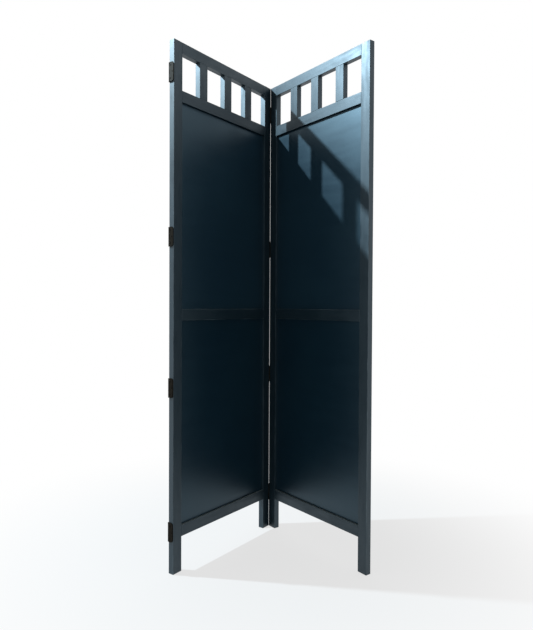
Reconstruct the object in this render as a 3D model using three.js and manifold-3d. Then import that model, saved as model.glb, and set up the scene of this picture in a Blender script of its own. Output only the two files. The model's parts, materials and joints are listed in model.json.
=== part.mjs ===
// A two-panel folding screen of black lacquered wood. Each panel is a stile-and-rail frame that
// holds two thin boards below a row of four open windows. Four butt hinges let into the meeting
// edges fold one panel against the other, and four more wait on the left panel's free edge.
//
// Millimetres, +Z up, feet on z = 0. The panels stand as a V that opens towards -Y.
//
// A panel is drawn in its own frame: x runs from its hinged edge to its outer edge, y from its
// front face, inside the V, to its back, and z up. The left panel is the right one's mirror image.

import * as THREE from "three";
import { mergeVertices } from "three/addons/utils/BufferGeometryUtils.js";
import Module from "manifold-3d";

// Overall sizes of one panel, and how far the two stand open.
const HEIGHT = 1750;
const PANEL_WIDTH = 527.5;
const THICKNESS = 21;
const REST_OPENING_DEG = 73.8;

// Frame members, each measured across its front face.
const STILE_WIDTH = 38;
const TOP_RAIL_WIDTH = 36.5;
const FRIEZE_RAIL_WIDTH = 37.5;
const MID_RAIL_WIDTH = 38;
const BOTTOM_RAIL_WIDTH = 38;
const MUNTIN_WIDTH = 38;

// The leg below the bottom rail, and the row of windows below the top rail. The proportions share
// the row's clear width out among the windows, from the outer stile inwards.
const LEG_LENGTH = 116;
const WINDOW_HEIGHT = 121;
const WINDOW_PROPORTIONS = [83, 90, 78.5, 86];

// Boards, and the grooves that hold them.
const BOARD_THICKNESS = 4;
const GROOVE_DEPTH = 8;
const EXPANSION_GAP = 1;

// Stub tenons.
const TENON_THICKNESS = 7;
const RAIL_TENON_LENGTH = 14;
const MUNTIN_TENON_LENGTH = 9;
const MUNTIN_TENON_SHOULDER = 6;

// Hinges: the barrel, the leaf with its screw holes, and the pin with its riveted ends. The pin
// stands a little in front of the face, and the leaf stops short of the opposite face.
const HINGE_HEIGHT = 63.5;
const KNUCKLE_COUNT = 5;
const KNUCKLE_RADIUS = 2.5;
const FACE_TO_PIN = 0.2;
const LEAF_THICKNESS = 2.3;
const LEAF_SETBACK = 1.2;
const LEAF_CORNER_RADIUS = 9;
const PIN_RADIUS = 1.1;
const PIN_HEAD_HEIGHT = 0.6;
const SCREW_COUNT = 3;
const SCREW_INSET = 5.3;
const SCREW_HOLE_RADIUS = 1.9;
const COUNTERSINK_RADIUS = 3.3;
const PILOT_RADIUS = 1.2;
const PILOT_DEPTH = 14;

// Where the hinges sit: the top one is placed from the top, the bottom one from the floor, and
// the two between them by shares of the way up from the bottom one.
const TOP_HINGE_DROP = 105;
const BOTTOM_HINGE_RISE = 138;
const MIDDLE_HINGE_SHARES = [0.645, 0.316];

// The gap between pieces that fit together, and how far a cut runs on past the face it opens.
const CLEARANCE = 0.3;
const OVERCUT = 1;

const BARREL_SIDES = 16;
const HOLE_SIDES = 12;
const PILOT_SIDES = 8;
const CORNER_STEPS = 6;

// Places that follow from the sizes.
const HALF_DEPTH = THICKNESS / 2;
const CLEAR_WIDTH = PANEL_WIDTH - 2 * STILE_WIDTH;
const TOP_RAIL_Z = HEIGHT - TOP_RAIL_WIDTH;
const FRIEZE_RAIL_Z = TOP_RAIL_Z - WINDOW_HEIGHT - FRIEZE_RAIL_WIDTH;
const LOWER_BOARD_Z = LEG_LENGTH + BOTTOM_RAIL_WIDTH;
const BOARD_HEIGHT = (FRIEZE_RAIL_Z - LOWER_BOARD_Z - MID_RAIL_WIDTH) / 2;
const MID_RAIL_Z = LOWER_BOARD_Z + BOARD_HEIGHT;
const UPPER_BOARD_Z = MID_RAIL_Z + MID_RAIL_WIDTH;

// The leaves lie flush in the edges, so in line the edges stand as far apart as the closed leaves.
const EDGE_TO_PIN = KNUCKLE_RADIUS - LEAF_THICKNESS;
const BORE_RADIUS = PIN_RADIUS + CLEARANCE;
const PIN_HEAD_RADIUS = PIN_RADIUS + (KNUCKLE_RADIUS - BORE_RADIUS) / 2;
const PLATE_START = KNUCKLE_RADIUS + CLEARANCE;
const LEAF_REACH = FACE_TO_PIN + THICKNESS - LEAF_SETBACK;
const KNUCKLE_PITCH = (HINGE_HEIGHT + CLEARANCE) / KNUCKLE_COUNT;
const KNUCKLE_LENGTH = KNUCKLE_PITCH - CLEARANCE;

const RAILS = [
  { name: "top_rail", z: TOP_RAIL_Z, width: TOP_RAIL_WIDTH, muntins: "below" },
  { name: "frieze_rail", z: FRIEZE_RAIL_Z, width: FRIEZE_RAIL_WIDTH, board: "below", muntins: "above" },
  { name: "mid_rail", z: MID_RAIL_Z, width: MID_RAIL_WIDTH, board: "both" },
  { name: "bottom_rail", z: LEG_LENGTH, width: BOTTOM_RAIL_WIDTH, board: "above" },
];

const wasm = await Module();
wasm.setup();

// Solids

// A three.js geometry as a closed solid that can be joined and cut.
function solidOf(geometry) {
  const bare = geometry.clone();
  bare.deleteAttribute("normal");
  bare.deleteAttribute("uv");
  const merged = mergeVertices(bare);
  const vertProperties = merged.attributes.position.array;
  const triVerts = new Uint32Array(merged.index.array);
  return new wasm.Manifold(new wasm.Mesh({ numProp: 3, vertProperties, triVerts }));
}

// A solid as a three.js geometry with flat faces.
function geometryOf(solid) {
  const { vertProperties, triVerts } = solid.getMesh();
  const geometry = new THREE.BufferGeometry();
  geometry.setAttribute("position", new THREE.BufferAttribute(vertProperties, 3));
  geometry.setIndex(new THREE.BufferAttribute(triVerts, 1));
  const faceted = geometry.toNonIndexed();
  faceted.computeVertexNormals();
  return faceted;
}

function joined(solids) {
  return solids.reduce((whole, solid) => whole.add(solid));
}

function cut(solid, cutters) {
  return cutters.reduce((rest, cutter) => rest.subtract(cutter), solid);
}

// A block between two limits along each axis.
function block([x0, x1], [y0, y1], [z0, z1]) {
  const geometry = new THREE.BoxGeometry(x1 - x0, y1 - y0, z1 - z0);
  geometry.translate((x0 + x1) / 2, (y0 + y1) / 2, (z0 + z1) / 2);
  return solidOf(geometry);
}

// The limits of a slot or tongue of this thickness in the middle of the panel's depth.
function midDepth(thickness) {
  return [HALF_DEPTH - thickness / 2, HALF_DEPTH + thickness / 2];
}

// A cone or bar round the z axis, with one radius at each end.
function coneAlongZ([r0, r1], [z0, z1], sides) {
  const geometry = new THREE.CylinderGeometry(r1, r0, z1 - z0, sides);
  geometry.rotateX(Math.PI / 2);
  geometry.translate(0, 0, (z0 + z1) / 2);
  return solidOf(geometry);
}

// A cone or bar along x, with one radius at each end, through the point (y, z).
function coneAlongX([r0, r1], [x0, x1], y, z, sides) {
  const geometry = new THREE.CylinderGeometry(r1, r0, x1 - x0, sides);
  geometry.rotateZ(-Math.PI / 2);
  geometry.translate((x0 + x1) / 2, y, z);
  return solidOf(geometry);
}

// A flat plate drawn as an outline of y and z, between two limits along x.
function plateAcrossX(outline, [x0, x1]) {
  const geometry = new THREE.ExtrudeGeometry(outline, {
    depth: x1 - x0,
    bevelEnabled: false,
    curveSegments: CORNER_STEPS,
  });
  const y = new THREE.Vector3(0, 1, 0);
  const z = new THREE.Vector3(0, 0, 1);
  const x = new THREE.Vector3(1, 0, 0);
  geometry.applyMatrix4(new THREE.Matrix4().makeBasis(y, z, x));
  geometry.translate(x0, 0, 0);
  return solidOf(geometry);
}

function mesh(name, geometry, material) {
  const piece = new THREE.Mesh(geometry, material);
  piece.name = name;
  return piece;
}

// Materials

function frameLacquer() {
  return new THREE.MeshStandardMaterial({ color: 0x22292c, roughness: 0.38, metalness: 0 });
}

function boardLacquer() {
  return new THREE.MeshStandardMaterial({ color: 0x161e22, roughness: 0.32, metalness: 0 });
}

function bronzedSteel() {
  return new THREE.MeshStandardMaterial({ color: 0x574c40, roughness: 0.45, metalness: 0.85 });
}

// Joinery

// The limits of a rail's tenon, up from the rail's lower edge. It clears the board grooves.
function railTenonLimits(width) {
  return [GROOVE_DEPTH, width - GROOVE_DEPTH];
}

// Limits moved apart by the same margin at both ends.
function widened([low, high], margin) {
  return [low - margin, high + margin];
}

function moved([low, high], distance) {
  return [low + distance, high + distance];
}

// A groove for a board's edge, from its floor out past the face that it opens.
function grooveAlongX(zLimits) {
  return block([-OVERCUT, CLEAR_WIDTH + OVERCUT], midDepth(BOARD_THICKNESS + 2 * CLEARANCE), zLimits);
}

// Window widths from the outer stile inwards.
function windowWidths() {
  const shared = CLEAR_WIDTH - (WINDOW_PROPORTIONS.length - 1) * MUNTIN_WIDTH;
  const whole = WINDOW_PROPORTIONS.reduce((sum, part) => sum + part, 0);
  return WINDOW_PROPORTIONS.map((part) => (shared * part) / whole);
}

// How far each muntin's nearer side lies from the hinge stile, the outermost muntin first.
function muntinPlaces() {
  const places = [];
  let x = CLEAR_WIDTH;
  for (const width of windowWidths().slice(0, -1)) {
    x -= width + MUNTIN_WIDTH;
    places.push(x);
  }
  return places;
}

// Wooden pieces

// A stile with its own x running from its plain edge to the edge that faces the boards. Hinge
// leaves are let into the plain edge from the front face.
function stile(hinged) {
  const inner = STILE_WIDTH;
  const floor = inner - RAIL_TENON_LENGTH - CLEARANCE;
  const mortises = RAILS.map(({ z, width }) =>
    block(
      [floor, inner + OVERCUT],
      midDepth(TENON_THICKNESS + 2 * CLEARANCE),
      moved(widened(railTenonLimits(width), CLEARANCE), z),
    ),
  );
  const groove = block(
    [inner - GROOVE_DEPTH, inner + OVERCUT],
    midDepth(BOARD_THICKNESS + 2 * CLEARANCE),
    [LOWER_BOARD_Z - GROOVE_DEPTH, FRIEZE_RAIL_Z + GROOVE_DEPTH],
  );
  const recesses = hinged ? hingePlaces().flatMap(leafRecess) : [];
  const whole = block([0, STILE_WIDTH], [0, THICKNESS], [0, HEIGHT]);
  return cut(whole, [...mortises, groove, ...recesses]);
}

// A rail between the stiles, its own z from its lower edge, with a stub tenon at each end.
function rail({ width, board, muntins }) {
  const grooves = [];
  if (board === "above" || board === "both") {
    grooves.push(grooveAlongX([width - GROOVE_DEPTH, width + OVERCUT]));
  }
  if (board === "below" || board === "both") {
    grooves.push(grooveAlongX([-OVERCUT, GROOVE_DEPTH]));
  }
  const sockets = muntins ? muntinPlaces().map((x) => muntinMortise(x, width, muntins)) : [];
  const body = block([CLEARANCE, CLEAR_WIDTH - CLEARANCE], [0, THICKNESS], [0, width]);
  const tenons = block(
    [-RAIL_TENON_LENGTH, CLEAR_WIDTH + RAIL_TENON_LENGTH],
    midDepth(TENON_THICKNESS),
    railTenonLimits(width),
  );
  return cut(joined([cut(body, grooves), tenons]), sockets);
}

// The limits of a muntin's tenon across the panel, from the muntin's nearer side.
function muntinTenonLimits() {
  return [MUNTIN_TENON_SHOULDER, MUNTIN_WIDTH - MUNTIN_TENON_SHOULDER];
}

// The mortise in a rail's upper or lower edge for the muntin at x.
function muntinMortise(x, width, edge) {
  const depth = MUNTIN_TENON_LENGTH + CLEARANCE;
  const zLimits = edge === "above" ? [width - depth, width + OVERCUT] : [-OVERCUT, depth];
  return block(
    moved(widened(muntinTenonLimits(), CLEARANCE), x),
    midDepth(TENON_THICKNESS + 2 * CLEARANCE),
    zLimits,
  );
}

// An upright between two windows, its own z from the frieze rail's upper edge.
function muntin() {
  const body = block([0, MUNTIN_WIDTH], [0, THICKNESS], [CLEARANCE, WINDOW_HEIGHT - CLEARANCE]);
  const tenons = block(
    muntinTenonLimits(),
    midDepth(TENON_THICKNESS),
    widened([0, WINDOW_HEIGHT], MUNTIN_TENON_LENGTH),
  );
  return joined([body, tenons]);
}

// A thin board with its four edges in the grooves, its own z from the rail below it.
function board() {
  const tongue = GROOVE_DEPTH - EXPANSION_GAP;
  return block(
    widened([0, CLEAR_WIDTH], tongue),
    midDepth(BOARD_THICKNESS),
    widened([0, BOARD_HEIGHT], tongue),
  );
}

// Hinges. A hinge is drawn round its pin: the leaf lies on the +x side and reaches along +y.

// The height of each hinge's middle, the top hinge first.
function hingePlaces() {
  const top = HEIGHT - TOP_HINGE_DROP;
  const rise = top - BOTTOM_HINGE_RISE;
  const between = MIDDLE_HINGE_SHARES.map((share) => BOTTOM_HINGE_RISE + share * rise);
  return [top, ...between, BOTTOM_HINGE_RISE];
}

// Where the screws go through a leaf, measured from the pin and the hinge's middle. They step
// from side to side of the plate.
function screwPlaces() {
  const pitch = HINGE_HEIGHT / SCREW_COUNT;
  return Array.from({ length: SCREW_COUNT }, (_, i) => ({
    y: i % 2 ? LEAF_REACH - SCREW_INSET : PLATE_START + SCREW_INSET,
    z: (i - (SCREW_COUNT - 1) / 2) * pitch,
  }));
}

// A leaf's outline from a line near the pin to its far edge, with two rounded corners.
function leafOutline(start, margin) {
  const end = LEAF_REACH + margin;
  const half = HINGE_HEIGHT / 2 + margin;
  const r = LEAF_CORNER_RADIUS + margin;
  const outline = new THREE.Shape();
  outline.moveTo(start, -half);
  outline.lineTo(end - r, -half);
  outline.absarc(end - r, r - half, r, -Math.PI / 2, 0);
  outline.lineTo(end, half - r);
  outline.absarc(end - r, half - r, r, 0, Math.PI / 2);
  outline.lineTo(start, half);
  outline.closePath();
  return outline;
}

// The cuts in a stile's edge for one leaf: its recess, open to the front face, and pilot holes.
function leafRecess(middle) {
  const floor = LEAF_THICKNESS + CLEARANCE;
  const recess = plateAcrossX(leafOutline(FACE_TO_PIN - OVERCUT, CLEARANCE), [-OVERCUT, floor]);
  const pilots = screwPlaces().map(({ y, z }) =>
    pilotHole([floor - OVERCUT, floor + PILOT_DEPTH], y, z),
  );
  return [recess, ...pilots].map((cutter) => cutter.translate(0, -FACE_TO_PIN, middle));
}

function pilotHole(limits, y, z) {
  return coneAlongX([PILOT_RADIUS, PILOT_RADIUS], limits, y, z, PILOT_SIDES);
}

// The limits along z of a hinge's knuckle, the lowest being number 0.
function knuckleLimits(number) {
  const low = number * KNUCKLE_PITCH - HINGE_HEIGHT / 2;
  return [low, low + KNUCKLE_LENGTH];
}

// A knuckle's barrel and the strap that joins it to the plate.
function knuckle(number) {
  const limits = knuckleLimits(number);
  const strap = block([EDGE_TO_PIN, KNUCKLE_RADIUS], [0, PLATE_START + OVERCUT], limits);
  const barrel = coneAlongZ([KNUCKLE_RADIUS, KNUCKLE_RADIUS], limits, BARREL_SIDES);
  return joined([barrel, strap]);
}

// A leaf that carries every second knuckle from the given one up. Its countersinks open on the
// face that meets the other leaf.
function leaf(firstKnuckle) {
  const plate = plateAcrossX(leafOutline(PLATE_START, 0), [EDGE_TO_PIN, KNUCKLE_RADIUS]);
  const knuckles = [];
  for (let number = firstKnuckle; number < KNUCKLE_COUNT; number += 2) {
    knuckles.push(knuckle(number));
  }
  return cut(joined([plate, ...knuckles]), [pinSpace(), ...screwPlaces().map(screwHole)]);
}

// A countersunk hole through a leaf. The cone runs on past both faces at the same slope.
function screwHole({ y, z }) {
  const slope = (COUNTERSINK_RADIUS - SCREW_HOLE_RADIUS) / LEAF_THICKNESS;
  const overrun = SCREW_HOLE_RADIUS / slope / 2;
  return coneAlongX(
    [COUNTERSINK_RADIUS + slope * overrun, SCREW_HOLE_RADIUS - slope * overrun],
    widened([EDGE_TO_PIN, KNUCKLE_RADIUS], overrun),
    y,
    z,
    HOLE_SIDES,
  );
}

// A pin with a bevelled head at each end, or the space that one fills, grown by a margin all
// round and past its ends.
function pinSolid(margin, overrun) {
  const end = HINGE_HEIGHT / 2;
  const neck = end - PIN_HEAD_HEIGHT;
  const headRadius = PIN_HEAD_RADIUS + margin;
  const shankRadius = PIN_RADIUS + margin;
  const upper = [
    [shankRadius, neck],
    [headRadius, end],
    [headRadius, end + overrun],
    [0, end + overrun],
  ];
  const lower = upper.map(([r, z]) => [r, -z]).reverse();
  const profile = [...lower, ...upper].map(([r, z]) => new THREE.Vector2(r, z));
  const geometry = new THREE.LatheGeometry(profile, HOLE_SIDES);
  geometry.rotateX(Math.PI / 2);
  return solidOf(geometry);
}

// The pin, its riveted heads flush with the barrel's ends.
function pin() {
  return pinSolid(0, 0);
}

// The bore through the knuckles, flared at both ends for the pin's heads.
function pinSpace() {
  return pinSolid(CLEARANCE, OVERCUT);
}

// Assembly

// One panel's frame and boards, measured from its hinged edge and front face.
function panelWoodwork(side, outerEdgeHinged) {
  const woodwork = new THREE.Group();
  const add = (name, solid, material, x, z) => {
    const piece = mesh(`${side}_${name}`, geometryOf(solid), material);
    piece.position.set(x, 0, z);
    woodwork.add(piece);
    return piece;
  };
  add("hinge_stile", stile(true), frameLacquer(), 0, 0);
  const outer = add("outer_stile", stile(outerEdgeHinged), frameLacquer(), PANEL_WIDTH, 0);
  outer.position.y = THICKNESS;
  outer.rotation.z = Math.PI;
  for (const member of RAILS) {
    add(member.name, rail(member), frameLacquer(), STILE_WIDTH, member.z);
  }
  muntinPlaces().forEach((x, i) => {
    const z = TOP_RAIL_Z - WINDOW_HEIGHT;
    add(`muntin_${i + 1}`, muntin(), frameLacquer(), STILE_WIDTH + x, z);
  });
  add("upper_board", board(), boardLacquer(), STILE_WIDTH, UPPER_BOARD_Z);
  add("lower_board", board(), boardLacquer(), STILE_WIDTH, LOWER_BOARD_Z);
  return woodwork;
}

// A leaf with the end knuckles and the middle one, or the leaf with the two between them.
function leafMesh(name, firstKnuckle, middle) {
  const piece = mesh(name, geometryOf(leaf(firstKnuckle)), bronzedSteel());
  piece.position.z = middle;
  return piece;
}

function pinMesh(name, middle) {
  const piece = mesh(name, geometryOf(pin()), bronzedSteel());
  piece.position.z = middle;
  return piece;
}

// The spare hinges on a panel's outer edge, their free leaves closed over the fixed ones. They
// are the meeting edge's hinges turned half way round, so their pins stand at the panel's back.
function spareHinges() {
  const hinges = new THREE.Group();
  hingePlaces().forEach((middle, i) => {
    const name = `outer_hinge_${i + 1}`;
    const freeLeaf = leafMesh(`${name}_free_leaf`, 1, middle);
    freeLeaf.scale.x = -1;
    hinges.add(leafMesh(`${name}_fixed_leaf`, 0, middle), freeLeaf, pinMesh(`${name}_pin`, middle));
  });
  hinges.position.set(PANEL_WIDTH + EDGE_TO_PIN, THICKNESS + FACE_TO_PIN, 0);
  hinges.rotation.z = Math.PI;
  return hinges;
}

// A whole panel, drawn round the pins that it folds on.
function panel(side, firstKnuckle, outerEdgeHinged) {
  const whole = new THREE.Group();
  const woodwork = panelWoodwork(side, outerEdgeHinged);
  woodwork.position.set(EDGE_TO_PIN, FACE_TO_PIN, 0);
  whole.add(woodwork);
  hingePlaces().forEach((middle, i) => {
    whole.add(leafMesh(`centre_hinge_${i + 1}_${side}_leaf`, firstKnuckle, middle));
  });
  if (outerEdgeHinged) {
    woodwork.add(spareHinges());
  }
  return whole;
}

function foldingScreen() {
  const screen = new THREE.Group();
  const turn = THREE.MathUtils.degToRad(90 - REST_OPENING_DEG / 2);
  const left = panel("left", 0, true);
  const right = panel("right", 1, false);
  left.scale.x = -1;
  left.rotation.z = turn;
  right.rotation.z = -turn;
  screen.add(left, right);
  hingePlaces().forEach((middle, i) => {
    screen.add(pinMesh(`centre_hinge_${i + 1}_pin`, middle));
  });
  return screen;
}

// The whole screen over the middle of the floor that it covers.
function centredOnFloor(screen) {
  const centred = new THREE.Group();
  centred.add(screen);
  centred.updateMatrixWorld(true);
  const middle = new THREE.Box3().setFromObject(centred, true).getCenter(new THREE.Vector3());
  screen.position.set(-middle.x, -middle.y, 0);
  return centred;
}

export default centredOnFloor(foldingScreen());
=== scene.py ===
"""Finishes, screws, studio and viewpoint of a two-panel folding screen.

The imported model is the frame. Its wooden members and hinge parts keep their
own solids, get softened arrises and a procedural finish, and the countersunk
wood screws that hold the hinge leaves are modelled here.

Lengths are in metres. A panel has coordinates of its own: "along" runs from
the fold's pin to the panel's free edge, "across" from the pin through the
panel's thickness, away from the faces that meet when the screen is shut, and
"up" from the floor.
"""

import json
import logging
import math
from collections.abc import Mapping, Sequence
from dataclasses import dataclass, field
from enum import Enum

import bmesh
import bpy
from mathutils import Matrix, Vector


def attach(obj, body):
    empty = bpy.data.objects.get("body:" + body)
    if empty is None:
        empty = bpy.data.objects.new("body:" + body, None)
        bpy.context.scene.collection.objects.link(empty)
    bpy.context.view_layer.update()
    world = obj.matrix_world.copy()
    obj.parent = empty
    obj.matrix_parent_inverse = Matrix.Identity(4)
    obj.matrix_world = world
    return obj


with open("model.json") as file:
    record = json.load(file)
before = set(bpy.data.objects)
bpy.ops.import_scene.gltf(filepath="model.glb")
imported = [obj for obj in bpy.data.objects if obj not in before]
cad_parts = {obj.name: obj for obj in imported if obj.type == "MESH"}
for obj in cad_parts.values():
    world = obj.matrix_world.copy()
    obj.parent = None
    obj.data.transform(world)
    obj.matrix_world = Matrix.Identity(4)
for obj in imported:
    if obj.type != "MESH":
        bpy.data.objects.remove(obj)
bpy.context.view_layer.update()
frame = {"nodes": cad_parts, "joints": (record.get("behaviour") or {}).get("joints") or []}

LOG = logging.getLogger("folding_screen")
MM = 0.001
NOISE_MIDDLE = 0.5
UP = (0.0, 0.0, 1.0)
WHITE = (1.0, 1.0, 1.0)
SPARE_HINGES = 4
FIRST_SEED = 1
PANEL_SEED_STEP = 40

Colour = tuple[float, float, float]
Triple = tuple[float, float, float]
Span = tuple[float, float]


class Side(Enum):
    """The two panels, as seen from inside the V."""

    LEFT = -1
    RIGHT = 1

    @property
    def word(self) -> str:
        """The side's name as the pieces have it."""
        return self.name.lower()

    @property
    def body(self) -> str:
        """The moving body that the panel's pieces ride on."""
        return f"{self.word}_panel"


class Grain(Enum):
    """The direction that a member's grain runs in."""

    UPRIGHT = "upright"
    LEVEL = "level"


class HingeRow(Enum):
    """The two rows of hinges."""

    CENTRE = "centre_hinge"
    OUTER = "outer_hinge"


# ---------------------------------------------------------------- shader maths


class Link:
    """An output socket of a shader graph."""

    def __init__(self, graph: "ShaderGraph", socket: bpy.types.NodeSocket) -> None:
        """Keeps the socket with the graph that it belongs to."""
        self.graph = graph
        self.socket = socket


class Value(Link):
    """A number that varies over a surface, written with Python's operators."""

    def __add__(self, other: "Term") -> "Value":
        """The sum with a number or another value."""
        return self.graph.math("ADD", self, other)

    def __sub__(self, other: "Term") -> "Value":
        """The difference from a number or another value."""
        return self.graph.math("SUBTRACT", self, other)

    def __rsub__(self, other: "Term") -> "Value":
        """A number less this value."""
        return self.graph.math("SUBTRACT", other, self)

    def __mul__(self, other: "Term") -> "Value":
        """The product with a number or another value."""
        return self.graph.math("MULTIPLY", self, other)

    def __truediv__(self, other: "Term") -> "Value":
        """The quotient by a number or another value."""
        return self.graph.math("DIVIDE", self, other)

    def __rtruediv__(self, other: "Term") -> "Value":
        """A number divided by this value."""
        return self.graph.math("DIVIDE", other, self)

    def __abs__(self) -> "Value":
        """The value without its sign."""
        return self.graph.math("ABSOLUTE", self)

    __radd__ = __add__
    __rmul__ = __mul__

    def most(self, other: "Term") -> "Value":
        """The larger of the two."""
        return self.graph.math("MAXIMUM", self, other)

    def swing(self, amount: float) -> "Value":
        """Noise around its middle, as a swing of this amount about 0."""
        return (self - NOISE_MIDDLE) * amount

    def ramp(self, low: "Term", high: "Term") -> "Value":
        """A smooth step from 0 at low to 1 at high.

        Args:
            low: Where the step starts.
            high: Where it ends. It may lie below low, for a falling step.

        Returns:
            The step as a value from 0 to 1.
        """
        return self.graph.value(
            "ShaderNodeMapRange",
            {"interpolation_type": "SMOOTHSTEP"},
            {"Value": self, "From Min": low, "From Max": high},
            "Result",
        )


class Tint(Link):
    """A colour that varies over a surface."""

    def towards(self, other: "Tint | Colour", share: "Term") -> "Tint":
        """The colour mixed with another.

        Args:
            other: The colour to go towards.
            share: How far, from 0 to 1.

        Returns:
            The mixed colour.
        """
        return self.graph.mix(self, other, share)


class Place(Link):
    """A position or direction that varies over a surface."""

    def __sub__(self, point: Sequence[float]) -> "Place":
        """The position as measured from a point."""
        return self.graph.vector("SUBTRACT", self, point)

    def __add__(self, point: Sequence[float]) -> "Place":
        """The position moved by a vector."""
        return self.graph.vector("ADD", self, point)

    def stretched(self, scale: Sequence[float]) -> "Place":
        """The position with each axis scaled by its own factor."""
        return self.graph.vector("MULTIPLY", self, scale)

    def length(self) -> Value:
        """How far the position lies from its origin."""
        return self.graph.value(
            "ShaderNodeVectorMath", {"operation": "LENGTH"}, {0: self}, "Value"
        )

    def dot(self, direction: "Place | Sequence[float]") -> Value:
        """How far the position lies in a direction, which may vary too."""
        return self.graph.value(
            "ShaderNodeVectorMath",
            {"operation": "DOT_PRODUCT"},
            {0: self, 1: direction},
            "Value",
        )


Term = Value | float


@dataclass(frozen=True)
class Pattern:
    """One kind of unevenness in a finish, as fractal noise around its middle.

    Attributes:
        scale: Its repeats for each metre.
        detail: Its octaves.
        rough: How strong the finer octaves are.
        stretch: What each axis is scaled by first, for a pattern with a run.
        height: Its part in the height of the bump.
        gloss: How far it swings the roughness.
    """

    scale: float
    detail: float = 2.0
    rough: float = 0.5
    stretch: Triple | None = None
    height: float = 0.0
    gloss: float = 0.0


class ShaderGraph:
    """Builds one node tree of a material or a world.

    A Mix node has sockets of the same name for each kind of data, so its
    colour sockets go by number.
    """

    MIX_INPUTS = (0, 6, 7)
    MIX_OUTPUT = 2

    def __init__(self, tree: bpy.types.NodeTree) -> None:
        """Starts with an empty tree."""
        self.tree = tree
        tree.nodes.clear()

    def node(
        self,
        kind: str,
        settings: Mapping[str, object] | None = None,
        inputs: Mapping[str | int, object] | None = None,
    ) -> bpy.types.Node:
        """Adds a node.

        Args:
            kind: The node's type.
            settings: Its own settings, which are set first.
            inputs: Values or links by socket name or number.

        Returns:
            The node.
        """
        made = self.tree.nodes.new(kind)
        for name, setting in (settings or {}).items():
            setattr(made, name, setting)
        for name, given in (inputs or {}).items():
            socket = made.inputs[name]
            if isinstance(given, Link):
                self.tree.links.new(given.socket, socket)
            elif socket.type == "RGBA" and len(given) == 3:
                socket.default_value = (*given, 1.0)
            else:
                socket.default_value = given
        return made

    def value(
        self,
        kind: str,
        settings: Mapping[str, object] | None = None,
        inputs: Mapping[str | int, object] | None = None,
        output: str | int = 0,
    ) -> Value:
        """Adds a node and returns one of its outputs as a number."""
        return Value(self, self.node(kind, settings, inputs).outputs[output])

    def math(self, operation: str, *terms: Term) -> Value:
        """Adds a Math node on numbers or values."""
        return self.value(
            "ShaderNodeMath", {"operation": operation}, dict(enumerate(terms))
        )

    def vector(self, operation: str, *terms: "Place | Sequence[float]") -> Place:
        """Adds a Vector Math node on positions or plain vectors."""
        node = self.node(
            "ShaderNodeVectorMath", {"operation": operation}, dict(enumerate(terms))
        )
        return Place(self, node.outputs["Vector"])

    def mix(self, low: "Tint | Colour", high: "Tint | Colour", share: Term) -> Tint:
        """Mixes two colours.

        Args:
            low: The colour at a share of 0.
            high: The colour at a share of 1.
            share: The share, from 0 to 1.

        Returns:
            The mixed colour.
        """
        inputs = dict(zip(self.MIX_INPUTS, (share, low, high)))
        node = self.node("ShaderNodeMix", {"data_type": "RGBA"}, inputs)
        return Tint(self, node.outputs[self.MIX_OUTPUT])

    def combined(self, first: Term, second: Term, third: Term) -> Place:
        """Joins three numbers into a position."""
        node = self.node(
            "ShaderNodeCombineXYZ", {}, dict(enumerate((first, second, third)))
        )
        return Place(self, node.outputs[0])

    def noise(self, place: Place, pattern: Pattern) -> Value:
        """Adds the noise of a pattern.

        Args:
            place: Where the noise is read.
            pattern: Its scale, octaves and stretch.

        Returns:
            The noise as a value around its middle.
        """
        if pattern.stretch is not None:
            place = place.stretched(pattern.stretch)
        return self.value(
            "ShaderNodeTexNoise",
            {"noise_dimensions": "3D"},
            {
                "Vector": place,
                "Scale": pattern.scale,
                "Detail": pattern.detail,
                "Roughness": pattern.rough,
            },
            "Fac",
        )

    def facing(self, direction: Sequence[float]) -> Value:
        """How squarely the surface faces a direction, from -1 to 1."""
        node = self.node("ShaderNodeNewGeometry")
        return Place(self, node.outputs["Normal"]).dot(direction)

    def bump(self, height: Value, distance: float, strength: float = 1.0) -> Link:
        """Turns a height from 0 to 1 into a bumped normal.

        Args:
            height: The height.
            distance: The depth of the whole height range.
            strength: How much of the bump is kept.

        Returns:
            The normal.
        """
        node = self.node(
            "ShaderNodeBump",
            {},
            {"Strength": strength, "Distance": distance, "Height": height},
        )
        return Link(self, node.outputs["Normal"])

    def surface(self, kind: str, inputs: Mapping[str, object]) -> None:
        """Adds a shader and links it to the tree's output."""
        shader = self.node(kind, {}, inputs)
        self.finish(Link(self, shader.outputs[0]))

    def finish(self, shader: Link) -> None:
        """Links a shader to the material's output."""
        output = self.node("ShaderNodeOutputMaterial")
        self.tree.links.new(shader.socket, output.inputs["Surface"])


def new_material(name: str) -> tuple[bpy.types.Material, ShaderGraph]:
    """Makes an empty material.

    Args:
        name: The material's name.

    Returns:
        The material and the graph that builds its nodes.
    """
    material = bpy.data.materials.new(name)
    material.use_nodes = True
    return material, ShaderGraph(material.node_tree)


# ------------------------------------------------------------- panel geometry


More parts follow.
